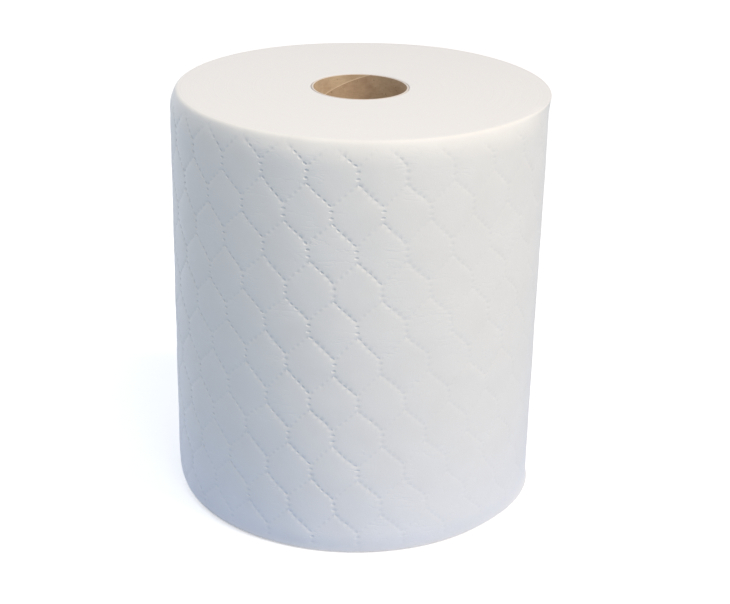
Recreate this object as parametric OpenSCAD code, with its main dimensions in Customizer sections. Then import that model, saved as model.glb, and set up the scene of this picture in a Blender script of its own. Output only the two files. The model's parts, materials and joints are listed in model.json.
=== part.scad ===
// A roll of nonwoven towels, standing on end.
// A long quilted sheet is wound face to face on a cardboard core. The origin is the middle of the
// face that the roll stands on, +Z runs up along the core, and the front of the roll faces -Y.

/* [Roll] */
// Width of the towel sheet, which is the height of the standing roll
sheet_width = 320; // [220:1:330]
// Outside diameter of the wound roll
roll_diameter = 283; // [200:1:300]
// Radius of the soft edge at the top and at the bottom
edge_radius = 5; // [3:0.5:10]

/* [Core] */
// Inside diameter of the cardboard core
core_bore = 70; // [40:1:90]
// Wall of the cardboard core
core_wall = 1.5; // [1:0.1:4]

/* [Quilting] */
// Width of one honeycomb cell, measured round the roll
cell_width = 34.2; // [32:0.1:60]
// Rise from one row of cells to the next
row_rise = 28.4; // [26:0.1:50]
// Length of the upright side that two cells of a row share
upright_side = 12.5; // [6:0.5:20]
// Distance from the top of the roll down to the upper ends of the first full upright sides
first_row_drop = 17.5; // [8:0.5:40]
// Depth of the pressed lines below the crown of a cell
line_depth = 1; // [0.5:0.1:2]
// Width of a pressed line, shoulder to shoulder
line_width = 5; // [3:0.5:8]
// Height of the middle of a cell over its shoulders at the upright sides
crown_height = 0.3; // [0:0.1:0.8]

/* [Turns] */
// Number of turns whose edges stand out on each end of the roll
marked_turns = 12; // [4:1:20]
// Width of the gap beside a marked turn
turn_gap_width = 1.2; // [0.6:0.1:3]
// Depth of the gap beside a marked turn
turn_gap_depth = 0.5; // [0.2:0.1:1.5]

/* [Tail] */
// Direction of the free end of the sheet, in degrees from the front towards the right
tail_angle = 130; // [90:1:270]
// Thickness of the sheet, which is the height of the step at its free end
sheet_thickness = 0.6; // [0.3:0.1:1.2]
// Width of the hollow in front of the step, where the last turn comes down on the one below
tail_run = 22; // [10:1:40]

/* [Hidden] */

// Circles are drawn with this many sides where they are shown as a mesh
$fn = 128;
roll_radius = roll_diameter / 2;
core_radius = core_bore / 2 + core_wall;

// The cells close up round the roll, so their real width is the nearest that divides it evenly
cells_round = round(PI * roll_diameter / cell_width);
// A slanted side climbs this much from the end of one upright side to the start of the next
slant_rise = row_rise - upright_side;
// Zigzag lines run round the roll between the rows, each with four points to a cell
points_round = 4 * cells_round;
first_valley = sheet_width - first_row_drop;
// The zigzag lines at the two ends keep at least this share of a row clear of the roll
clear_share = 0.1;
lines_below = ceil((first_valley + slant_rise) / row_rise + clear_share);
lines_above = ceil(first_row_drop / row_rise + clear_share);
rows = lines_below + lines_above;
lowest_valley = first_valley - lines_below * row_rise;
// Share of a cell that its shoulder takes, seen from the middle of the cell
shoulder_share = 1 - line_width / cell_width;
// The rounded outline and the cuts in the outside run this much clear of the cells
outline_margin = 0.15;
// Cuts along the roll run this much past each of its ends
cut_overrun = 3;

// A point on the roll: quarter cells round from the front, height, and radius
function on_roll(quarter, height, radius) =
    let (angle = 90 * quarter / cells_round)
    [radius * sin(angle), -radius * cos(angle), height];

// Height of a zigzag line: up from a valley to a peak in two quarter cells, and down again
function line_height(line, quarter) =
    let (step = (quarter - 2 * (line % 2) + points_round) % 4)
    lowest_valley + line * row_rise + slant_rise * (1 - abs(step - 2) / 2);

// Middle of a cell, as quarter cells round and height. A row lies between lines row and row + 1
function cell_quarter(row, column) = 4 * column + 2 * (row % 2);
function cell_height(row) = lowest_valley + row * row_rise + slant_rise + upright_side / 2;

// The ten corners round a cell, each as a line and quarter cells from the middle of the cell
function cell_corners(row) = concat(
    [for (step = [-2:2]) [row, step]],
    [for (step = [2:-1:-2]) [row + 1, step]]
);

// Points of the pressed lines, then ten shoulder points for each cell, then the two ends
line_points = [
    for (line = [0:rows], quarter = [0:points_round - 1])
    on_roll(quarter, line_height(line, quarter), roll_radius - line_depth)
];
cell_points = [
    for (row = [0:rows - 1], column = [0:cells_round - 1])
    let (middle = cell_quarter(row, column), height = cell_height(row))
    for (corner = cell_corners(row))
    on_roll(
        middle + corner[1] * shoulder_share,
        height + (line_height(corner[0], middle + corner[1]) - height) * shoulder_share,
        roll_radius - crown_height * pow(corner[1] / 2, 2)
    )
];
end_points = [[0, 0, lowest_valley - row_rise], [0, 0, sheet_width + 2 * row_rise]];

function line_index(line, quarter) = line * points_round + (quarter + points_round) % points_round;
function cell_index(row, column, place) =
    len(line_points) + 10 * (row * cells_round + column) + place;

// The sloping sides of the pressed lines, between the corners of a cell and its shoulders
side_faces = [
    for (row = [0:rows - 1], column = [0:cells_round - 1], place = [0:9])
    let (
        next = (place + 1) % 10,
        corners = cell_corners(row),
        middle = cell_quarter(row, column),
        line_here = line_index(corners[place][0], middle + corners[place][1]),
        line_next = line_index(corners[next][0], middle + corners[next][1]),
        shoulder_here = cell_index(row, column, place),
        shoulder_next = cell_index(row, column, next)
    )
    each [
        [line_next, line_here, shoulder_here],
        [line_next, shoulder_here, shoulder_next]
    ]
];
// The face of a cell is four upright strips, each flat
strip_faces = [
    for (row = [0:rows - 1], column = [0:cells_round - 1], strip = [0:3])
    [for (place = [strip, 9 - strip, 8 - strip, strip + 1]) cell_index(row, column, place)]
];
end_faces = [
    for (quarter = [0:points_round - 1])
    let (lower_end = len(line_points) + len(cell_points))
    each [
        [line_index(0, quarter), line_index(0, quarter + 1), lower_end],
        [line_index(rows, quarter + 1), line_index(rows, quarter), lower_end + 1]
    ]
];

// The quilted outside as one closed skin, longer than the sheet is wide
module quilted_skin() {
    polyhedron(
        points = concat(line_points, cell_points, end_points),
        faces = concat(side_faces, strip_faces, end_faces)
    );
}

// Outline of the whole roll, cut to the width of the sheet, with soft edges
module rounded_outline() {
    radius = roll_radius + outline_margin;
    rotate_extrude() {
        square([radius - edge_radius, sheet_width]);
        translate([0, edge_radius])
            square([radius, sheet_width - 2 * edge_radius]);
        for (height = [edge_radius, sheet_width - edge_radius])
            translate([radius - edge_radius, height])
                intersection() {
                    circle(r = edge_radius);
                    translate([0, -edge_radius])
                        square([edge_radius, 2 * edge_radius]);
                }
    }
}

// Gaps beside the marked turns, as shallow rings in one end of the roll
module turn_gaps(height) {
    spacing = (roll_radius - edge_radius - core_radius) / (marked_turns + 1);
    rotate_extrude()
        for (turn = [1:marked_turns])
            translate([core_radius + turn * spacing, height])
                polygon([[-turn_gap_width / 2, 0], [0, -turn_gap_depth],
                         [turn_gap_width / 2, 0], [0, turn_gap_depth]]);
}

// What the step at the free end of the sheet takes away from the outside
module tail_hollow() {
    rotate([0, 0, tail_angle])
        translate([0, 0, -cut_overrun])
            linear_extrude(sheet_width + 2 * cut_overrun)
                polygon([
                    [0, -roll_radius + sheet_thickness],
                    [0, -roll_radius - sheet_thickness],
                    [tail_run, -roll_radius - sheet_thickness],
                    [tail_run, -sqrt(pow(roll_radius, 2) - pow(tail_run, 2)) - outline_margin]
                ]);
}

module core() {
    color("#b48d66")
        difference() {
            cylinder(r = core_radius, h = sheet_width);
            translate([0, 0, -cut_overrun])
                cylinder(d = core_bore, h = sheet_width + 2 * cut_overrun);
        }
}

module towel_roll() {
    color("#f2f1ee")
        difference() {
            intersection() {
                quilted_skin();
                rounded_outline();
            }
            translate([0, 0, -cut_overrun])
                cylinder(r = core_radius, h = sheet_width + 2 * cut_overrun);
            turn_gaps(0);
            turn_gaps(sheet_width);
            tail_hollow();
        }
}

core();
towel_roll();
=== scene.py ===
"""A roll of nonwoven towels, standing on end: the finish of its sheet and of its cardboard core."""

import json
import math

import bmesh
import bpy
import numpy as np
from mathutils import Matrix, Vector, noise
from mathutils.geometry import delaunay_2d_cdt


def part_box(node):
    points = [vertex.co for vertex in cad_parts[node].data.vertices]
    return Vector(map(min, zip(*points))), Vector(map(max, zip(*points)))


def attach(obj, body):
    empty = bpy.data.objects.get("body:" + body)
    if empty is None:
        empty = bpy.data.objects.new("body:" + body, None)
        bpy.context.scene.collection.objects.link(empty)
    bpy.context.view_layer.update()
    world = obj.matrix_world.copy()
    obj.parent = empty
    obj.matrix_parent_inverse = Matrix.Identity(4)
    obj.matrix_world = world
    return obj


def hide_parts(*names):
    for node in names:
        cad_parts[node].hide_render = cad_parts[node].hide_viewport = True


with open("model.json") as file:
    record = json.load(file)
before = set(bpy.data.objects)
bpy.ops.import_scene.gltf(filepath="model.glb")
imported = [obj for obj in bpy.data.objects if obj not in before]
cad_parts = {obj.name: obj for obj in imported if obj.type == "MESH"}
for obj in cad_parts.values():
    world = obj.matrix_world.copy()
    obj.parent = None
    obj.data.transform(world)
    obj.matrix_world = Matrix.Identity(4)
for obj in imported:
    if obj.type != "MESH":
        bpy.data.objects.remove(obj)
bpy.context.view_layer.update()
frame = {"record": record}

MM = 0.001
# Places this near each other are the same place
HAIR = 1e-6
# Folds steeper than this are shaded as sharp edges
SHARP_FOLD = math.radians(24)

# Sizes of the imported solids
roll_low, roll_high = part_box("towel_roll")
core_low, core_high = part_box("core")
mounts = {mount["name"]: mount for mount in frame["record"]["mounts"]}
ROLL_RADIUS = (roll_high.x - roll_low.x) / 2
ROLL_HEIGHT = roll_high.z
CORE_RADIUS = (core_high.x - core_low.x) / 2
BORE_RADIUS = mounts["core_bore"]["dims"]["r_mm"] * MM

# The honeycomb quilting: upright sides joined by slanting ones, each line a row of short dashes
CELL_WIDTH = 34.4 * MM
ROW_RISE = 28.4 * MM
UPRIGHT_SIDE = 12.5 * MM
# A line bends over this share of a row's rise before and after each of its corners
CORNER_SHARE = 0.12
# Dashes from the middle of one upright side to the middle of the next
DASHES_TO_NEXT = 7
DASH_HALF_LENGTH = 1.9 * MM
DASH_HALF_WIDTH = 1.3 * MM
DASH_DEPTH = 0.8 * MM
# Dashes that climb to the right are pressed only this share as deep
CLIMBING_SHARE = 0.4
# Each line lies in a shallow groove, and the sheet rises beside it to a crown
GROOVE_DEPTH = 0.18 * MM
GROOVE_HALF_WIDTH = 3.2 * MM
CROWN_HEIGHT = 0.3 * MM
CROWN_REACH = 6 * MM
# The sheet runs a little out of square with the roll, about this upright side at the front
SHEET_TILT = math.radians(1)
FRONT_UPRIGHT = Vector((-0.7 * MM, 0, ROLL_HEIGHT - 23.7 * MM))
# Patches of the quilting are laid out past the trimmed sheet on every side
COLUMNS = 30
FIRST_COLUMN = -19
ROWS = 16
FIRST_ROW = -12
# Slow waves in the wound sheet, and their length round the roll and along it
WAVE_HEIGHT = 0.3 * MM
WAVE_ROUND = 55 * MM
WAVE_ALONG = 38 * MM
# How far the lines of the quilting stray, and how much the depth of its dashes varies
STRAY = 1.6 * MM
STRAY_LENGTH = 34 * MM
UNEVEN_SHARE = 0.5
UNEVEN_LENGTH = 7 * MM
# The quilting falls to a share of its height over this depth at each end, and to another at the foot
FADE_DEPTH = 8 * MM
END_SHARE = 0.2
FOOT_SHARE = 0.6
# The quilting has been packed flatter at the right of the roll. Such a range is four directions in
# degrees: full up to the first, least from the second to the third, and full again from the fourth
FLAT_SHARE = 0.3
FLAT_RANGE = (-16, 30, 100, 130)

# The two ends, where the turns show their cut edges. The side draws in towards them over a soft shoulder,
# which turns into a slight flare at the right of the roll, and over a small round edge. The quilted sheet
# stops a little way under the face, and plain rings go on from there
SHOULDER_HEIGHT = 18 * MM
SHOULDER_INSET = 6 * MM
SQUARE_SHARE = -0.25
SQUARE_RANGE = (42, 84, 145, 190)
ROUND_HEIGHT = 1.2 * MM
ROUND_INSET = 0.6 * MM
SHEET_STOP = 4 * MM
EDGE_STEPS = 6
END_CORNERS = 208
MARKED_TURNS = 12
TURN_GAP_WIDTH = 1.2 * MM
TURN_GAP_DEPTH = 0.03 * MM
# The gap beside a marked turn is shallower here and deeper there, over this length
TURN_GAP_LENGTH = 30 * MM
# The faces of the ends lie unevenly, by this much and over this length
FACE_SINK = 0.15 * MM
FACE_SINK_LENGTH = 24 * MM
# The innermost turn stands this far off the core, down to this depth, and its edge is blunt
CORE_GAP = 0.5 * MM
CORE_GAP_DEPTH = 2 * MM
CORE_GAP_BLUNT = 0.3 * MM

# The free end of the sheet, at the back. The last turn comes down over a run in front of the step, and
# stands off the roll a little near its edge, unevenly along it
TAIL_ANGLE = math.radians(130)
SHEET_THICKNESS = 0.6 * MM
TAIL_RUN = 24 * MM
TAIL_LIFT = 0.7 * MM
TAIL_LIFT_REACH = 16 * MM
TAIL_LIFT_LENGTH = 60 * MM

# The core, and how far its bore and its ends are out of true
CORE_CORNERS = 160
BORE_RINGS = 48
BORE_DENT = 0.2 * MM
BORE_DENT_LENGTH = 60 * MM
CORE_BLUNT = 0.3 * MM
# The strip that the core is wound from climbs this far a turn; its seam reaches the mouth at the back
STRIP_RISE = 76 * MM
SEAM_AT_MOUTH = 0.54

# The camera, from the roll's outline in the photograph
PHOTO_WIDTH = 730
CAMERA_DISTANCE = 8.1428 * ROLL_RADIUS
CAMERA_HEIGHT = 4.4727 * ROLL_RADIUS
CAMERA_PIXELS = 1584.9
CAMERA_PITCH = 0.4003
CAMERA_YAW = 0.0062
CAMERA_ROLL = 0.0220
SENSOR_WIDTH = 36


def linear(hex_colour):
    """An sRGB hex value as the linear colour that a shader takes."""
    channels = [int(hex_colour[i:i + 2], 16) / 255 for i in (1, 3, 5)]
    return [c / 12.92 if c <= 0.04045 else ((c + 0.055) / 1.055) ** 2.4 for c in channels] + [1.0]


def add_node(tree, kind, inputs=None, **settings):
    """Adds a node with its settings and inputs. A node given as an input stands for its first output."""
    node = tree.nodes.new(kind)
    for name, value in settings.items():
        setattr(node, name, value)
    for name, value in (inputs or {}).items():
        if isinstance(value, bpy.types.Node):
            value = next(socket for socket in value.outputs if socket.enabled)
        if isinstance(value, bpy.types.NodeSocket):
            tree.links.new(value, node.inputs[name])
        else:
            node.inputs[name].default_value = value
    return node


def new_material(name):
    """A material with an empty tree, and that tree."""
    material = bpy.data.materials.new(name)
    material.use_nodes = True
    material.node_tree.nodes.clear()
    return material, material.node_tree


def add_surface(tree, inputs):
    """Ends a material's tree in a Principled shader with these inputs."""
    shader = add_node(tree, "ShaderNodeBsdfPrincipled", inputs)
    add_node(tree, "ShaderNodeOutputMaterial", {"Surface": shader})


def mesh_object(name, mesh, *materials):
    """A new object at the origin with that mesh and its materials, smooth apart from its sharp folds."""
    piece = bpy.data.objects.new(name, mesh)
    bpy.context.scene.collection.objects.link(piece)
    for material in materials:
        mesh.materials.append(material)
    mesh.shade_smooth()
    mesh.set_sharp_from_angle(angle=SHARP_FOLD)
    return piece


# Materials

def spunlace_nonwoven():
    """Spunlaced viscose and polyester: matt white, short fibres lying every way, no weave."""
    material, tree = new_material("Spunlace nonwoven, embossed")
    place = add_node(tree, "ShaderNodeTexCoord").outputs["Object"]
    pressed = add_node(tree, "ShaderNodeAttribute", attribute_name="pressed").outputs["Fac"]
    # Fibres a few tenths of a millimetre apart are drawn this far apart, so that they show
    fibre_spacing = 1.2 * MM
    fibres = add_node(tree, "ShaderNodeTexNoise", {
        "Vector": place, "Scale": 1 / fibre_spacing, "Detail": 4, "Roughness": 0.65, "Distortion": 1.2,
    })
    # Cloudy unevenness of the web
    cloud_size = 25 * MM
    clouds = add_node(tree, "ShaderNodeTexNoise", {
        "Vector": place, "Scale": 1 / cloud_size, "Detail": 3, "Roughness": 0.5,
    })
    web = add_node(tree, "ShaderNodeMix", {
        "Factor": clouds, "A": linear("#eceae6"), "B": linear("#f3f2ef"),
    }, data_type="RGBA")
    # The dashes are painted a shade greyer: partly the pressed fibres, which scatter less light, and partly
    # painted shade in their hollows
    tone = add_node(tree, "ShaderNodeMix", {
        "Factor": pressed, "A": web, "B": linear("#d9dcde"),
    }, data_type="RGBA")
    fused = add_node(tree, "ShaderNodeMapRange", {"Value": pressed, "To Min": 0.85, "To Max": 0.65})
    # Creases lie level, a few millimetres high and a centimetre or two long, and only here and there
    crease_spacing = 26 * MM
    level = add_node(tree, "ShaderNodeMapping", {"Vector": place, "Scale": (1, 1, 5)})
    folds = add_node(tree, "ShaderNodeTexNoise", {
        "Vector": level, "Scale": 1 / crease_spacing, "Detail": 2, "Roughness": 0.5, "Distortion": 0.5,
    })
    from_middle = add_node(tree, "ShaderNodeMath", {0: folds, 1: 0.5}, operation="SUBTRACT")
    from_fold = add_node(tree, "ShaderNodeMath", {0: from_middle}, operation="ABSOLUTE")
    creased = add_node(tree, "ShaderNodeMapRange", {
        "Value": from_fold, "From Min": 0.0, "From Max": 0.035, "To Min": -1.0, "To Max": 0.0,
    }, interpolation_type="SMOOTHSTEP")
    patches = add_node(tree, "ShaderNodeMapRange", {"Value": clouds, "From Min": 0.48, "From Max": 0.62})
    creases = add_node(tree, "ShaderNodeMath", {0: creased, 1: patches}, operation="MULTIPLY")
    fine = add_node(tree, "ShaderNodeBump", {
        "Height": fibres, "Strength": 0.35, "Distance": 0.25 * MM,
    })
    relief = add_node(tree, "ShaderNodeBump", {
        "Height": creases, "Strength": 0.45, "Distance": 0.15 * MM, "Normal": fine,
    })
    # The sheen is from loose fibre ends, which catch the light at the outline
    add_surface(tree, {
        "Base Color": tone, "Roughness": fused, "Normal": relief, "Specular IOR Level": 0.25,
        "Sheen Weight": 0.55, "Sheen Roughness": 0.3,
    })
    return material


def slit_turns():
    """The slit edges of the wound web: hundreds of turns packed tight, soft and slightly open."""
    material, tree = new_material("Spunlace nonwoven, slit edges of the turns")
    place = add_node(tree, "ShaderNodeTexCoord").outputs["Object"]
    parts = add_node(tree, "ShaderNodeSeparateXYZ", {"Vector": place}).outputs
    flat = add_node(tree, "ShaderNodeCombineXYZ", {"X": parts["X"], "Y": parts["Y"]})
    radius = add_node(tree, "ShaderNodeVectorMath", {0: flat}, operation="LENGTH")
    # Turns 0.3 mm apart, and fibres finer than that, are drawn this far apart, so that they show
    turn_spacing = 1.1 * MM
    fibre_spacing = 1.0 * MM
    turns = add_node(tree, "ShaderNodeMath", {0: radius, 1: 1 / turn_spacing}, operation="MULTIPLY")
    rings = add_node(tree, "ShaderNodeTexNoise", {
        "W": turns, "Scale": 1.0, "Detail": 3, "Roughness": 0.6,
    }, noise_dimensions="1D")
    fibres = add_node(tree, "ShaderNodeTexNoise", {
        "Vector": place, "Scale": 1 / fibre_spacing, "Detail": 3, "Roughness": 0.6,
    })
    tone = add_node(tree, "ShaderNodeMix", {
        "Factor": rings, "A": linear("#eae8e6"), "B": linear("#f2f1f0"),
    }, data_type="RGBA")
    height = add_node(tree, "ShaderNodeMath", {0: rings, 1: fibres}, operation="ADD")
    relief = add_node(tree, "ShaderNodeBump", {
        "Height": height, "Strength": 0.3, "Distance": 0.25 * MM,
    })
    add_surface(tree, {
        "Base Color": tone, "Roughness": 0.9, "Normal": relief, "Specular IOR Level": 0.2,
    })
    return material


def kraft_board():
    """Recycled kraft board, spiral wound and glued: matt brown, flecked, with a seam where its plies meet."""
    material, tree = new_material("Kraft board, spiral wound")
    place = add_node(tree, "ShaderNodeTexCoord").outputs["Object"]
    parts = add_node(tree, "ShaderNodeSeparateXYZ", {"Vector": place}).outputs
    # How far across the wound strip a place lies, from 0 at one seam to 1 at the next
    frontwards = add_node(tree, "ShaderNodeMath", {0: parts["Y"], 1: -1.0}, operation="MULTIPLY")
    direction = add_node(tree, "ShaderNodeMath", {0: parts["X"], 1: frontwards}, operation="ARCTAN2")
    turns = add_node(tree, "ShaderNodeMath", {0: direction, 1: 2 * math.pi}, operation="DIVIDE")
    from_mouth = add_node(tree, "ShaderNodeMath", {0: parts["Z"], 1: ROLL_HEIGHT}, operation="SUBTRACT")
    climb = add_node(tree, "ShaderNodeMath", {0: from_mouth, 1: STRIP_RISE}, operation="DIVIDE")
    strips = add_node(tree, "ShaderNodeMath", {0: turns, 1: climb}, operation="ADD")
    from_first_seam = add_node(tree, "ShaderNodeMath", {0: strips, 1: SEAM_AT_MOUTH}, operation="ADD")
    across = add_node(tree, "ShaderNodeMath", {0: from_first_seam}, operation="FRACT")
    from_seam = add_node(tree, "ShaderNodeMath", {0: across, 1: STRIP_RISE}, operation="MULTIPLY")
    seam_width = 1.1 * MM
    seam = add_node(tree, "ShaderNodeMapRange", {
        "Value": from_seam, "From Min": 0.0, "From Max": seam_width, "To Min": 1.0, "To Max": 0.0,
    })
    # Long fibres lie along the strip, between short dark ones
    grain_width = 3.5 * MM
    speck_spacing = 2.6 * MM
    along_strip = add_node(tree, "ShaderNodeMapping", {"Vector": place, "Scale": (1, 1, 3)})
    grain = add_node(tree, "ShaderNodeTexNoise", {
        "Vector": along_strip, "Scale": 1 / grain_width, "Detail": 5, "Roughness": 0.7,
    })
    specks = add_node(tree, "ShaderNodeTexNoise", {
        "Vector": place, "Scale": 1 / speck_spacing, "Detail": 4, "Roughness": 0.6,
    })
    dark_specks = add_node(tree, "ShaderNodeMapRange", {
        "Value": specks, "From Min": 0.64, "From Max": 0.74, "To Min": 0.0, "To Max": 0.7,
    })
    tone = add_node(tree, "ShaderNodeMix", {
        "Factor": grain, "A": linear("#b99f80"), "B": linear("#e6d1b2"),
    }, data_type="RGBA")
    # The ply is a shade darker towards its far edge, and blotched with glue
    far_edge = add_node(tree, "ShaderNodeMapRange", {
        "Value": across, "From Min": 0.55, "From Max": 1.0, "To Min": 0.0, "To Max": 0.25,
    })
    blotch_size = 14 * MM
    blotches = add_node(tree, "ShaderNodeTexNoise", {
        "Vector": place, "Scale": 1 / blotch_size, "Detail": 4, "Roughness": 0.6,
    })
    blotched = add_node(tree, "ShaderNodeMapRange", {
        "Value": blotches, "From Min": 0.45, "From Max": 0.7, "To Min": 0.0, "To Max": 0.35,
    })
    darker = add_node(tree, "ShaderNodeMath", {0: far_edge, 1: blotched}, operation="ADD")
    shaded = add_node(tree, "ShaderNodeMix", {
        "Factor": darker, "A": tone, "B": linear("#96705a"),
    }, data_type="RGBA")
    flecked = add_node(tree, "ShaderNodeMix", {
        "Factor": dark_specks, "A": shaded, "B": linear("#7d6145"),
    }, data_type="RGBA")
    paler = add_node(tree, "ShaderNodeMath", {0: seam, 1: 0.6}, operation="MULTIPLY")
    seamed = add_node(tree, "ShaderNodeMix", {
        "Factor": paler, "A": flecked, "B": linear("#ecd9bd"),
    }, data_type="RGBA")
    seam_height = add_node(tree, "ShaderNodeMath", {0: seam, 1: 1.5}, operation="MULTIPLY")
    height = add_node(tree, "ShaderNodeMath", {0: seam_height, 1: grain}, operation="ADD")
    relief = add_node(tree, "ShaderNodeBump", {
        "Height": height, "Strength": 0.6, "Distance": 0.25 * MM,
    })
    add_surface(tree, {
        "Base Color": seamed, "Roughness": 0.8, "Normal": relief, "Specular IOR Level": 0.3,
    })
    return material


def cut_kraft():
    """Sawn end of the board: its plies on edge, paler and frayed."""
    material, tree = new_material("Kraft board, cut edge")
    place = add_node(tree, "ShaderNodeTexCoord").outputs["Object"]
    fray_spacing = 1.2 * MM
    fray = add_node(tree, "ShaderNodeTexNoise", {
        "Vector": place, "Scale": 1 / fray_spacing, "Detail": 3, "Roughness": 0.7,
    })
    tone = add_node(tree, "ShaderNodeMix", {
        "Factor": fray, "A": linear("#cfc4ba"), "B": linear("#ece5dd"),
    }, data_type="RGBA")
    relief = add_node(tree, "ShaderNodeBump", {"Height": fray, "Strength": 0.5, "Distance": 0.2 * MM})
    add_surface(tree, {
        "Base Color": tone, "Roughness": 0.85, "Normal": relief, "Specular IOR Level": 0.25,
    })
    return material


# The quilting, laid flat: x runs round the roll, z up, and the relief stands out along y

def eased(x):
    """Zero before a corner, x after it, and a smooth bend at the corner itself."""
    bend = (x + CORNER_SHARE) ** 2 / (4 * CORNER_SHARE)
    return np.where(x < -CORNER_SHARE, 0, np.where(x > CORNER_SHARE, x, bend))


def pressed_line(share):
    """Points of a pressed line from the middle of one upright side to the next, down and to the right."""
    straight = UPRIGHT_SIDE / 2 / ROW_RISE
    sideways = (eased(share - straight) - eased(share - 1 + straight)) / (1 - 2 * straight)
    return np.stack([sideways * CELL_WIDTH / 2, -share * ROW_RISE], axis=1)


def along_line(travel_shares):
    """Points and directions at these shares of a pressed line's length."""
    fine_points = 401
    fine = pressed_line(np.linspace(0, 1, fine_points))
    steps = np.hypot(*np.diff(fine, axis=0).T)
    travel = np.concatenate([[0], np.cumsum(steps)]) / steps.sum()
    shares = np.asarray(travel_shares)
    small_step = 0.002
    places, ahead, behind = [
        np.stack([np.interp(shares + step, travel, fine[:, i]) for i in (0, 1)], axis=1)
        for step in (0, small_step, -small_step)
    ]
    directions = ahead - behind
    return places, directions / np.hypot(*directions.T)[:, None]


def on_every_line(places, directions):
    """Repeats what lies on one line on each line round the patch, with each upright side only once."""
    near = 0.1 * MM
    upright = np.abs(places[:, 0]) < near
    lower_upright = np.abs(places[:, 0] - CELL_WIDTH / 2) < near
    copies = []
    # Rows and columns enough to lie round the whole patch
    for row in range(-2, 4):
        for column in range(-3, 4):
            start = np.array([(column + (row % 2) / 2) * CELL_WIDTH, row * ROW_RISE])
            falling = np.hstack([places + start, directions])
            # The upper half of an upright side mirrors its lower half
            upper = np.hstack([places * [1, -1] + start, directions * [1, -1]])
            climbing = np.hstack([places * [-1, 1] + start, directions * [-1, 1]])
            copies += [falling[~lower_upright], upper[upright & (places[:, 1] < -near)],
                       climbing[~(upright | lower_upright)]]
    found = np.vstack(copies)
    return found[:, :2], found[:, 2:]


def nearest(points, others):
    """Distance from each point to the nearest of the others, and which one that is."""
    gaps = np.hypot(points[:, None, 0] - others[None, :, 0], points[:, None, 1] - others[None, :, 1])
    which = gaps.argmin(axis=1)
    return gaps[np.arange(len(points)), which], which


def bowed(start, end, parts, bow):
    """Points from a start up to an end, on a flat arc that keeps any three of them out of line."""
    share = np.linspace(0, 1, parts + 1)[:-1, None]
    across = np.array([start[1] - end[1], end[0] - start[0]])
    return start + share * (end - start) + bow * np.sin(math.pi * share) * across


def patch_border():
    """Outline of one repeat, from cell middle to cell middle, led between the dashes that it crosses."""
    # Each stretch of the outline has this many parts, and is bowed by this share of its length
    parts = 4
    bow = 0.03
    corner = np.array([-CELL_WIDTH / 2, 0])
    across = np.array([CELL_WIDTH, 0])
    upwards = np.array([CELL_WIDTH / 2, ROW_RISE])
    dashes_above_gap = 4
    gap_place, _ = along_line([dashes_above_gap / DASHES_TO_NEXT])
    gap = gap_place[0] + [-CELL_WIDTH / 2, ROW_RISE]
    upright = corner + across / 2
    bottom = np.vstack([bowed(corner, upright, parts, bow), bowed(upright, corner + across, parts, -bow)])
    left = np.vstack([bowed(corner, gap, parts, bow), bowed(gap, corner + upwards, parts, -bow)])
    far_corner = corner + upwards
    return np.vstack([bottom, left + across, far_corner + across, (bottom + upwards)[:0:-1],
                      far_corner, left[:0:-1]])


def inside(points, outline):
    """Which points lie inside a closed outline, by counting the sides that a ray crosses."""
    found = np.zeros(len(points), bool)
    for start, end in zip(outline, np.roll(outline, -1, axis=0)):
        crosses = (start[1] > points[:, 1]) != (end[1] > points[:, 1])
        rise = end[1] - start[1] if end[1] != start[1] else 1.0
        reach = start[0] + (points[:, 1] - start[1]) * (end[0] - start[0]) / rise
        found ^= crosses & (points[:, 0] < reach)
    return found


def dash_turns(directions):
    """Directions of the dashes: along a slanted side, and ever more level towards an upright one."""
    slant = math.atan2(ROW_RISE - UPRIGHT_SIDE, CELL_WIDTH / 2)
    steepness = np.arctan2(np.abs(directions[:, 1]), np.abs(directions[:, 0]))
    lean = slant * np.clip((math.pi / 2 - steepness) / (math.pi / 2 - slant), 0, 1)
    return np.stack([np.cos(lean), np.sign(directions.prod(axis=1)) * np.sin(lean)], axis=1)


def quilting_relief(points, line_places, dash_places, dash_directions):
    """Height out of the sheet at each point, and how deep it lies in a dash, from 0 to 1."""
    gap, _ = nearest(points, line_places)
    groove = np.clip(1 - (gap / GROOVE_HALF_WIDTH) ** 2, 0, 1) ** 2
    crown = 1 - np.exp(-gap / CROWN_REACH)
    _, which = nearest(points, dash_places)
    offset = points - dash_places[which]
    direction = dash_directions[which]
    along = (offset * direction).sum(axis=1) / DASH_HALF_LENGTH
    across = (offset[:, 0] * direction[:, 1] - offset[:, 1] * direction[:, 0]) / DASH_HALF_WIDTH
    dash = np.clip(1 - along ** 2 - across ** 2, 0, 1)
    climbing = np.clip(2 * direction.prod(axis=1), 0, 1)
    pressed = dash * (1 - (1 - CLIMBING_SHARE) * climbing)
    return CROWN_HEIGHT * crown - GROOVE_DEPTH * groove - DASH_DEPTH * pressed, pressed


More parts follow.
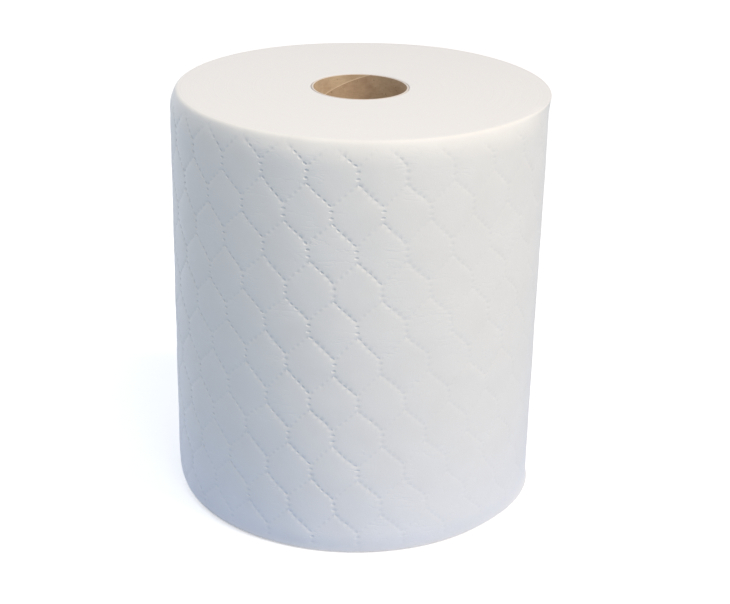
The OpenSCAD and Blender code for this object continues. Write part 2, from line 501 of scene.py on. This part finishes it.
def quilting_patch():
    """One repeat of the quilting as a flat mesh, fine at the dashes and coarse inside the cell."""
    dash_shares = (np.arange(DASHES_TO_NEXT) + 0.5) / DASHES_TO_NEXT
    gap_shares = np.arange(1, DASHES_TO_NEXT) / DASHES_TO_NEXT
    dash_places, line_at_dash = on_every_line(*along_line(dash_shares))
    gap_places, line_at_gap = on_every_line(*along_line(gap_shares))
    points_on_line = 121
    line_places, _ = on_every_line(*along_line(np.linspace(0, 1, points_on_line)))
    dash_directions = dash_turns(line_at_dash)
    border = patch_border()
    points = list(border)
    edges = [(i, (i + 1) % len(border)) for i in range(len(border))]

    # Each dash is a ring of points round a short bottom line
    ring_points = 8
    bottom_share = 0.45
    for place, direction in zip(dash_places, dash_directions):
        if not inside(place[None], border)[0]:
            continue
        sideways = np.array([-direction[1], direction[0]])
        first = len(points)
        for number in range(ring_points):
            turn = 2 * math.pi * number / ring_points
            points.append(place + direction * math.cos(turn) * DASH_HALF_LENGTH
                          + sideways * math.sin(turn) * DASH_HALF_WIDTH)
        points.append(place - direction * bottom_share * DASH_HALF_LENGTH)
        points.append(place + direction * bottom_share * DASH_HALF_LENGTH)
        edges += [(first + i, first + (i + 1) % ring_points) for i in range(ring_points)]
        edges.append((first + ring_points, first + ring_points + 1))

    # Then the middle of the gaps, both shoulders of the groove further and further out, and the open cell,
    # each point only where no other lies within its room
    candidates = [(gap_places, 1.0 * MM)]
    for places, directions, reach, room in ((gap_places, line_at_gap, 1.9 * MM, 1.0 * MM),
                                            (dash_places, line_at_dash, 2.2 * MM, 1.2 * MM),
                                            (dash_places, line_at_dash, 3.9 * MM, 1.7 * MM),
                                            (gap_places, line_at_gap, 4.6 * MM, 1.7 * MM)):
        sideways = np.stack([-directions[:, 1], directions[:, 0]], axis=1)
        candidates += [(places + reach * sideways, room), (places - reach * sideways, room)]
    # The points of the open cell make nearly even triangles, as rows lie closer than the points in one
    spacing = 4.2 * MM
    row_spacing = 0.87 * spacing
    open_cell = np.array([[(column + (row % 2) / 2) * spacing, row * row_spacing]
                          for row in range(-2, 12) for column in range(-6, 10)])
    candidates.append((open_cell, 3.0 * MM))
    for places, room in candidates:
        for place in places[inside(places, border)]:
            if nearest(place[None], np.array(points))[0][0] > room:
                points.append(place)

    outline = list(range(len(border)))
    flat, _, faces, *_ = delaunay_2d_cdt([Vector(p) for p in points], edges, [outline], 1, HAIR / 10)
    flat = np.array([place[:] for place in flat])
    height, pressed = quilting_relief(flat, line_places, dash_places, dash_directions)
    mesh = bpy.data.meshes.new("quilting_patch")
    mesh.from_pydata(np.stack([flat[:, 0], height, flat[:, 1]], axis=1).tolist(), [], faces)
    mesh.attributes.new("pressed", "FLOAT", "POINT").data.foreach_set("value", pressed)
    return mesh


def quilting_tree(material):
    """Geometry nodes that lay patches out in staggered rows, as one flat sheet a little out of square."""
    tree = bpy.data.node_groups.new("Quilted sheet", "GeometryNodeTree")
    tree.interface.new_socket("Geometry", in_out="INPUT", socket_type="NodeSocketGeometry")
    for name in ("Columns", "Rows", "First column", "First row"):
        tree.interface.new_socket(name, in_out="INPUT", socket_type="NodeSocketInt")
    for name in ("Cell width", "Row rise", "Tilt"):
        tree.interface.new_socket(name, in_out="INPUT", socket_type="NodeSocketFloat")
    tree.interface.new_socket("Front upright", in_out="INPUT", socket_type="NodeSocketVector")
    tree.interface.new_socket("Geometry", in_out="OUTPUT", socket_type="NodeSocketGeometry")
    given = add_node(tree, "NodeGroupInput").outputs
    index = add_node(tree, "GeometryNodeInputIndex")
    rows_before = add_node(tree, "ShaderNodeMath", {0: index, 1: given["Columns"]}, operation="DIVIDE")
    whole_rows = add_node(tree, "ShaderNodeMath", {0: rows_before}, operation="FLOOR")
    row = add_node(tree, "ShaderNodeMath", {0: whole_rows, 1: given["First row"]}, operation="ADD")
    place_in_row = add_node(tree, "ShaderNodeMath", {0: index, 1: given["Columns"]}, operation="MODULO")
    column = add_node(tree, "ShaderNodeMath", {0: place_in_row, 1: given["First column"]}, operation="ADD")
    odd_row = add_node(tree, "ShaderNodeMath", {0: row, 1: 2.0}, operation="FLOORED_MODULO")
    stagger = add_node(tree, "ShaderNodeMath", {0: odd_row, 1: 0.5}, operation="MULTIPLY")
    cells = add_node(tree, "ShaderNodeMath", {0: column, 1: stagger}, operation="ADD")
    across = add_node(tree, "ShaderNodeMath", {0: cells, 1: given["Cell width"]}, operation="MULTIPLY")
    upwards = add_node(tree, "ShaderNodeMath", {0: row, 1: given["Row rise"]}, operation="MULTIPLY")
    lattice = add_node(tree, "ShaderNodeCombineXYZ", {"X": across, "Z": upwards})
    count = add_node(tree, "ShaderNodeMath", {0: given["Columns"], 1: given["Rows"]}, operation="MULTIPLY")
    points = add_node(tree, "GeometryNodePoints", {"Count": count, "Position": lattice})
    laid = add_node(tree, "GeometryNodeInstanceOnPoints", {"Points": points, "Instance": given["Geometry"]})
    sheet = add_node(tree, "GeometryNodeRealizeInstances", {"Geometry": laid})
    joined = add_node(tree, "GeometryNodeMergeByDistance", {"Geometry": sheet, "Distance": 0.02 * MM})
    lean = add_node(tree, "ShaderNodeMath", {0: given["Tilt"], 1: -1.0}, operation="MULTIPLY")
    turn = add_node(tree, "ShaderNodeCombineXYZ", {"Y": lean})
    tilted = add_node(tree, "GeometryNodeTransform", {
        "Geometry": joined, "Translation": given["Front upright"], "Rotation": turn,
    })
    dressed = add_node(tree, "GeometryNodeSetMaterial", {"Geometry": tilted, "Material": material})
    add_node(tree, "NodeGroupOutput", {"Geometry": dressed})
    return tree


def apply_tree(name, mesh, tree, sizes):
    """Runs a geometry node tree on a mesh and gives back the plain mesh that it makes."""
    carrier = bpy.data.objects.new(name, mesh)
    bpy.context.scene.collection.objects.link(carrier)
    modifier = carrier.modifiers.new(name, "NODES")
    modifier.node_group = tree
    for socket in tree.interface.items_tree:
        if socket.in_out == "INPUT" and socket.name in sizes:
            modifier[socket.identifier] = sizes[socket.name]
    depsgraph = bpy.context.evaluated_depsgraph_get()
    made = bpy.data.meshes.new_from_object(carrier.evaluated_get(depsgraph))
    bpy.data.objects.remove(carrier)
    return made


# The roll: the flat sheet is trimmed, wound once round, sewn up at its free end, and closed by two ends

def smooth_step(x):
    """Zero below 0, one above 1, and a smooth rise between."""
    x = min(max(x, 0.0), 1.0)
    return x * x * (3 - 2 * x)


def share_left(angle, least, directions):
    """One in most directions round the roll, but falling to the least share in a range of them."""
    degrees = (math.degrees(angle) + 90) % 360 - 90
    full, low, low_until, full_again = directions
    fallen = smooth_step((degrees - full) / (low - full))
    fallen -= smooth_step((degrees - low_until) / (full_again - low_until))
    return 1 - (1 - least) * fallen


def draw_in(depth, height, inset):
    """How far an upright half ellipse has drawn in at a depth under the face."""
    climb = max(1 - depth / height, 0)
    return inset * (1 - math.sqrt(1 - climb ** 2))


def side_inset(depth, angle):
    """How far the side has drawn in at a depth under either face, in a direction round the roll."""
    shoulder = SHOULDER_INSET * share_left(angle, SQUARE_SHARE, SQUARE_RANGE)
    return draw_in(depth, SHOULDER_HEIGHT, shoulder) + draw_in(depth, ROUND_HEIGHT, ROUND_INSET)


def uneven(place, share, finer):
    """Smooth noise at a place, plus a share of noise that is so many times finer."""
    return noise.noise(place) + share * noise.noise(place * finer)


def strayed(x, height, z):
    """Where a place on the flat sheet has come to lie, as the lines of a wound sheet run unevenly."""
    place = rolled(x, 0, z) / STRAY_LENGTH
    # Two places far apart in the noise give two ways to stray that have nothing to do with each other
    aside = STRAY * uneven(place + Vector((0, 0, 40)), 0.4, 3)
    upwards = STRAY * uneven(place + Vector((0, 0, 80)), 0.4, 3)
    free = smooth_step((min(z, ROLL_HEIGHT - z) - SHEET_STOP) / FADE_DEPTH)
    return x + aside, height, z + free * upwards


def quilting_left(x, z):
    """How much of its depth the quilting has kept at a place of the wound sheet."""
    depth = min(z, ROLL_HEIGHT - z)
    left = END_SHARE + (1 - END_SHARE) * smooth_step((depth - SHEET_STOP) / FADE_DEPTH)
    left *= share_left(x / ROLL_RADIUS, FLAT_SHARE, FLAT_RANGE)
    left *= FOOT_SHARE + (1 - FOOT_SHARE) * z / ROLL_HEIGHT
    return left * (1 + UNEVEN_SHARE * noise.noise(rolled(x, 0, z) / UNEVEN_LENGTH))


def settled(x, height, z, end_x):
    """Height of the wound sheet at a place: quilting, slow waves, shoulder, and what its free end adds."""
    depth = min(z, ROLL_HEIGHT - z)
    angle = x / ROLL_RADIUS
    place = rolled(x, 0, z)
    wave = uneven(Vector((place.x / WAVE_ROUND, place.y / WAVE_ROUND, z / WAVE_ALONG)), 0.5, 2.3)
    run_before = end_x - x
    run_after = 2 * math.pi * ROLL_RADIUS - run_before
    lift = TAIL_LIFT * max(1 - run_before / TAIL_LIFT_REACH, 0) ** 2
    lift *= 0.6 + 0.4 * noise.noise(Vector((0, 0, z / TAIL_LIFT_LENGTH)))
    step = SHEET_THICKNESS * max(1 - run_after / TAIL_RUN, 0) ** 2
    return height + WAVE_HEIGHT * wave - CROWN_HEIGHT + lift - step - side_inset(depth, angle)


def rolled(x, height, z):
    """Where a place on the flat sheet lies on the roll."""
    angle = x / ROLL_RADIUS
    radius = ROLL_RADIUS + height
    return Vector((radius * math.sin(angle), -radius * math.cos(angle), z))


def zip_up(body, first, second, first_places, second_places):
    """Triangles between two chains of corners, going on along whichever chain lies behind."""
    i = j = 0
    while i < len(first) - 1 or j < len(second) - 1:
        first_done = i == len(first) - 1
        second_done = j == len(second) - 1
        if second_done or (not first_done and first_places[i + 1] <= second_places[j + 1]):
            body.faces.new((first[i], first[i + 1], second[j]))
            i += 1
        else:
            body.faces.new((first[i], second[j + 1], second[j]))
            j += 1


def wound_sheet(body):
    """Trims the flat sheet to one turn and its own width, winds it, and closes the step at its end."""
    end_x = TAIL_ANGLE * ROLL_RADIUS
    start_x = end_x - 2 * math.pi * ROLL_RADIUS
    cuts = [((start_x, 0, 0), (-1, 0, 0)), ((end_x, 0, 0), (1, 0, 0)),
            ((0, 0, SHEET_STOP), (0, 0, -1)), ((0, 0, ROLL_HEIGHT - SHEET_STOP), (0, 0, 1))]
    for place, outwards in cuts:
        everything = body.verts[:] + body.edges[:] + body.faces[:]
        bmesh.ops.bisect_plane(body, geom=everything, dist=HAIR, plane_co=place,
                               plane_no=outwards, clear_outer=True)
    chains = []
    for seam_x in (start_x, end_x):
        corners = set()
        for edge in body.edges:
            if edge.is_boundary and all(abs(corner.co.x - seam_x) < 2 * HAIR for corner in edge.verts):
                corners.update(edge.verts)
        chains.append(sorted(corners, key=lambda corner: corner.co.z))
    pressed = body.verts.layers.float["pressed"]
    for corner in body.verts:
        x, height, z = corner.co
        left = quilting_left(x, z)
        corner[pressed] *= left
        corner.co = rolled(*strayed(x, settled(x, left * height, z, end_x), z))
    heights = [[corner.co.z for corner in chain] for chain in chains]
    zip_up(body, *chains, *heights)


def end_profile():
    """Rings of one end inside its shoulder: radius, and depth under the face."""
    spacing = (ROLL_RADIUS - SHOULDER_INSET - CORE_RADIUS) / (MARKED_TURNS + 1)
    rings = []
    for turn in range(MARKED_TURNS, 0, -1):
        middle = CORE_RADIUS + turn * spacing
        rings.append((middle + spacing / 2, 0))
        rings.append((middle + TURN_GAP_WIDTH / 2, 0))
        rings.append((middle, TURN_GAP_DEPTH))
        rings.append((middle - TURN_GAP_WIDTH / 2, 0))
    rings.append((CORE_RADIUS + spacing / 2, 0))
    rings.append((CORE_RADIUS + CORE_GAP + CORE_GAP_BLUNT, 0))
    rings.append((CORE_RADIUS + CORE_GAP, CORE_GAP_BLUNT))
    rings.append((CORE_RADIUS + CORE_GAP, CORE_GAP_DEPTH))
    rings.append((CORE_RADIUS, CORE_GAP_DEPTH))
    return rings


def angle_of(corner):
    """Direction of a corner, from the front towards the right."""
    return math.atan2(corner.co.x, -corner.co.y)


def rim_loop(body, height):
    """The corners of the open rim at a height, in order round the roll."""
    neighbours = {}
    for edge in body.edges:
        if edge.is_boundary and all(abs(corner.co.z - height) < 10 * HAIR for corner in edge.verts):
            for corner in edge.verts:
                neighbours.setdefault(corner, []).append(edge.other_vert(corner))
    start = next(iter(neighbours))
    loop = [start, neighbours[start][0]]
    while True:
        following = [corner for corner in neighbours[loop[-1]] if corner is not loop[-2]][0]
        if following is start:
            return loop
        loop.append(following)


def ring_faces(body, ring, following):
    """A band of four-sided faces between two rings of as many corners."""
    faces = []
    for i in range(len(ring)):
        after = (i + 1) % len(ring)
        faces.append(body.faces.new((ring[i], ring[after], following[after], following[i])))
    return faces


def zip_rings(body, first, second):
    """Triangles between two closed rings of unlike corner counts round the same axis."""
    chains, places = [], []
    for ring in (first, second):
        ordered = sorted(ring, key=angle_of)
        angles = [angle_of(corner) for corner in ordered]
        chains.append(ordered + ordered[:1])
        places.append(angles + [angles[0] + 2 * math.pi])
    before = set(body.faces)
    zip_up(body, *chains, *places)
    return [face for face in body.faces if face not in before]


def close_end(body, height, upwards):
    """Carries an open rim over its shoulder, and across the end to the core, ring by ring."""
    ring = rim_loop(body, height)
    angles = [angle_of(corner) for corner in ring]
    # What the rim stands out past the plain side dies away over the shoulder
    extras = [math.hypot(corner.co.x, corner.co.y) - ROLL_RADIUS + side_inset(SHEET_STOP, angle)
              for corner, angle in zip(ring, angles)]
    face_height = height + upwards * SHEET_STOP
    first_turn = math.asin(1 - SHEET_STOP / SHOULDER_HEIGHT)
    for step in range(1, EDGE_STEPS + 1):
        share = step / EDGE_STEPS
        depth = SHOULDER_HEIGHT * (1 - math.sin(first_turn + share * (math.pi / 2 - first_turn)))
        following = []
        for angle, extra in zip(angles, extras):
            radius = ROLL_RADIUS - side_inset(depth, angle) + (1 - share) * extra
            following.append(body.verts.new((radius * math.sin(angle), -radius * math.cos(angle),
                                             face_height - upwards * depth)))
        ring_faces(body, ring, following)
        ring = following
    bmesh.ops.remove_doubles(body, verts=ring, dist=5 * HAIR)
    ring = [corner for corner in ring if corner.is_valid]

    end_faces = []
    # The top and the bottom sink unevenly, each in its own way
    own_noise = Vector((0, 0, upwards * 7))
    for number, (radius, depth) in enumerate(end_profile()):
        following = []
        for step in range(END_CORNERS):
            angle = 2 * math.pi * (step + 0.5) / END_CORNERS - math.pi
            place = Vector((radius * math.sin(angle), -radius * math.cos(angle), 0))
            sink = FACE_SINK * abs(noise.noise(place / FACE_SINK_LENGTH + own_noise))
            sink += depth * (0.7 + 0.6 * noise.noise(place / TURN_GAP_LENGTH))
            place.z = face_height - upwards * sink
            following.append(body.verts.new(place))
        if number == 0:
            end_faces += zip_rings(body, ring, following)
        else:
            end_faces += ring_faces(body, ring, following)
        ring = following
    for face in end_faces:
        face.material_index = 1
    return ring


def towel_roll(side_material, end_material):
    """The wound towels as one closed mesh: quilted side, step at the free end, two ends, and the bore."""
    body = bmesh.new()
    body.from_mesh(apply_tree("quilting", quilting_patch(), quilting_tree(side_material), {
        "Columns": COLUMNS, "Rows": ROWS, "First column": FIRST_COLUMN, "First row": FIRST_ROW,
        "Cell width": CELL_WIDTH, "Row rise": ROW_RISE, "Tilt": SHEET_TILT,
        "Front upright": FRONT_UPRIGHT,
    }))
    for face in body.faces:
        face.material_index = 0
    wound_sheet(body)
    top = close_end(body, ROLL_HEIGHT - SHEET_STOP, 1)
    bottom = close_end(body, SHEET_STOP, -1)
    ring_faces(body, top, bottom)
    bmesh.ops.recalc_face_normals(body, faces=body.faces[:])
    mesh = bpy.data.meshes.new("towel_roll")
    body.to_mesh(mesh)
    body.free()
    return mesh_object("quilted_towel_roll", mesh, side_material, end_material)


# The core

def cardboard_core(board, cut_board):
    """The spiral wound tube: a bore a little out of true, and two blunt cut ends."""
    # Up the outside, over the top, down the bore, and back across the foot
    outline = [(CORE_RADIUS, CORE_BLUNT), (CORE_RADIUS, ROLL_HEIGHT - CORE_BLUNT),
               (CORE_RADIUS - CORE_BLUNT, ROLL_HEIGHT), (BORE_RADIUS + CORE_BLUNT, ROLL_HEIGHT)]
    bore_heights = np.linspace(ROLL_HEIGHT - CORE_BLUNT, CORE_BLUNT, BORE_RINGS)
    outline += [(BORE_RADIUS, height) for height in bore_heights]
    outline += [(BORE_RADIUS + CORE_BLUNT, 0), (CORE_RADIUS - CORE_BLUNT, 0)]
    body = bmesh.new()
    rings = []
    for radius, height in outline:
        ring = []
        for step in range(CORE_CORNERS):
            angle = 2 * math.pi * step / CORE_CORNERS
            direction = Vector((math.sin(angle), -math.cos(angle), 0))
            up_the_bore = Vector((0, 0, height / BORE_DENT_LENGTH))
            dent = BORE_DENT * abs(noise.noise(direction * 1.5 + up_the_bore))
            reach = radius - dent if radius == BORE_RADIUS else radius
            ring.append(body.verts.new(direction * reach + Vector((0, 0, height))))
        rings.append(ring)
    for number, ring in enumerate(rings):
        for face in ring_faces(body, ring, rings[(number + 1) % len(rings)]):
            at_an_end = all(min(corner.co.z, ROLL_HEIGHT - corner.co.z) <= CORE_BLUNT * 1.01
                            for corner in face.verts)
            face.material_index = int(at_an_end)
    bmesh.ops.recalc_face_normals(body, faces=body.faces[:])
    mesh = bpy.data.meshes.new("cardboard_core")
    body.to_mesh(mesh)
    body.free()
    return mesh_object("cardboard_core", mesh, board, cut_board)


# The studio

def photo_camera():
    """The camera at the photograph's viewpoint."""
    data = bpy.data.cameras.new("photo_camera")
    data.sensor_width = SENSOR_WIDTH
    data.lens = CAMERA_PIXELS * SENSOR_WIDTH / PHOTO_WIDTH
    camera = bpy.data.objects.new("photo_camera", data)
    bpy.context.scene.collection.objects.link(camera)
    forward = Vector((math.sin(CAMERA_YAW) * math.cos(CAMERA_PITCH),
                      math.cos(CAMERA_YAW) * math.cos(CAMERA_PITCH), -math.sin(CAMERA_PITCH)))
    level = Vector((math.cos(CAMERA_YAW), -math.sin(CAMERA_YAW), 0))
    upright = level.cross(forward)
    right = math.cos(CAMERA_ROLL) * level + math.sin(CAMERA_ROLL) * upright
    up = right.cross(forward)
    turn = Matrix((right, up, -forward)).transposed().to_4x4()
    camera.matrix_world = Matrix.Translation((0, -CAMERA_DISTANCE, CAMERA_HEIGHT)) @ turn
    bpy.context.scene.camera = camera


def aim(data, azimuth, elevation, distance, hex_colour):
    """Puts a lamp in a direction from the top of the roll, facing it; azimuth runs from front to right."""
    data.color = linear(hex_colour)[:3]
    lamp = bpy.data.objects.new(data.name, data)
    bpy.context.scene.collection.objects.link(lamp)
    turn = math.radians(azimuth)
    rise = math.radians(elevation)
    source = Vector((math.sin(turn) * math.cos(rise), -math.cos(turn) * math.cos(rise), math.sin(rise)))
    lamp.location = source * distance + Vector((0, 0, ROLL_HEIGHT))
    lamp.rotation_euler = (-source).to_track_quat("-Z", "Y").to_euler()


def round_panel(name, size, energy):
    """A round soft panel that is still to be aimed."""
    data = bpy.data.lights.new(name, "AREA")
    data.shape = "DISK"
    data.size = size
    data.energy = energy
    return data


def soft_window():
    """The main light: a far, wide window at the right."""
    data = bpy.data.lights.new("soft_window", "SUN")
    data.angle = math.radians(24)
    data.energy = 1.56
    aim(data, azimuth=60, elevation=39.5, distance=2, hex_colour="#fff0de")


def front_panel():
    """A small panel above the front, near enough to fade across the top and down the side."""
    data = round_panel("front_panel", size=0.3, energy=2.1)
    aim(data, azimuth=8, elevation=55, distance=0.95, hex_colour="#fff9f1")


def rear_card():
    """A white card at the left rear, about as high as the top, that lights the left edge of the roll."""
    data = round_panel("rear_card", size=0.4, energy=2.0)
    aim(data, azimuth=-135, elevation=2, distance=0.9, hex_colour="#f2f5ff")


def seen_directly(tree):
    """1 for what the camera sees, also in a reflection or through something clear, and 0 for light."""
    path = add_node(tree, "ShaderNodeLightPath").outputs
    seen = path["Is Camera Ray"]
    for kind in ("Is Glossy Ray", "Is Transmission Ray"):
        seen = add_node(tree, "ShaderNodeMath", {0: seen, 1: path[kind]}, operation="MAXIMUM")
    return seen


def pale_world():
    """Even pale light all round, and plain white where the camera looks past the floor."""
    world = bpy.data.worlds.new("pale_world")
    bpy.context.scene.world = world
    world.use_nodes = True
    tree = world.node_tree
    tree.nodes.clear()
    light = add_node(tree, "ShaderNodeBackground", {"Color": linear("#f2f7ff"), "Strength": 0.52})
    white = add_node(tree, "ShaderNodeBackground", {"Color": linear("#ffffff"), "Strength": 1.0})
    both = add_node(tree, "ShaderNodeMixShader", {0: seen_directly(tree), 1: light, 2: white})
    add_node(tree, "ShaderNodeOutputWorld", {"Surface": both})


def pale_floor():
    """A white floor that keeps the roll's soft shadow, and lights it from below with painted blue-grey bounce
    light.
    """
    material, tree = new_material("White studio floor")
    # The light that it throws back is painted into its colour: palest at the foot of the roll, which lifts
    # the shade low on the roll's side, then bluest, then plain blue-grey
    place = add_node(tree, "ShaderNodeTexCoord").outputs["Object"]
    away = add_node(tree, "ShaderNodeVectorMath", {0: place}, operation="LENGTH")
    farther = add_node(tree, "ShaderNodeMapRange", {
        "Value": away, "From Min": ROLL_RADIUS, "From Max": 3 * ROLL_RADIUS,
    })
    tint = add_node(tree, "ShaderNodeMix", {
        "Factor": farther, "A": linear("#a8c6f6"), "B": linear("#b6c5d4"),
    }, data_type="RGBA")
    # Painted light at the foot: a pale ring in the bounce colour that lifts the shade low on the roll
    off_foot = add_node(tree, "ShaderNodeMapRange", {
        "Value": away, "From Min": ROLL_RADIUS - 4 * MM, "From Max": ROLL_RADIUS + 16 * MM,
    })
    painted_bounce = add_node(tree, "ShaderNodeMix", {
        "Factor": off_foot, "A": linear("#eef2fc"), "B": tint,
    }, data_type="RGBA")
    painted_bounce_shader = add_node(tree, "ShaderNodeBsdfDiffuse", {"Color": painted_bounce})
    # What the camera sees of it is white paint with a glow, so that only a soft shadow is left
    paint = add_node(tree, "ShaderNodeBsdfDiffuse", {"Color": linear("#f4f4f4")})
    glow = add_node(tree, "ShaderNodeEmission", {"Color": linear("#ffffff"), "Strength": 0.4})
    lifted = add_node(tree, "ShaderNodeAddShader", {0: paint, 1: glow})
    both = add_node(tree, "ShaderNodeMixShader", {0: seen_directly(tree), 1: painted_bounce_shader, 2: lifted})
    add_node(tree, "ShaderNodeOutputMaterial", {"Surface": both})
    mesh = bpy.data.meshes.new("studio_floor")
    reach = 12.0
    mesh.from_pydata([(-reach, -reach, 0), (reach, -reach, 0), (reach, reach, 0), (-reach, reach, 0)],
                     [], [(0, 1, 2, 3)])
    floor = mesh_object("studio_floor", mesh, material)


photo_camera()
soft_window()
front_panel()
rear_card()
pale_world()
pale_floor()
bpy.context.scene.view_settings.view_transform = "Standard"

roll = towel_roll(spunlace_nonwoven(), slit_turns())
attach(roll, "root")
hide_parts("towel_roll")

core = cardboard_core(kraft_board(), cut_kraft())
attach(core, "root")
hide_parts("core")
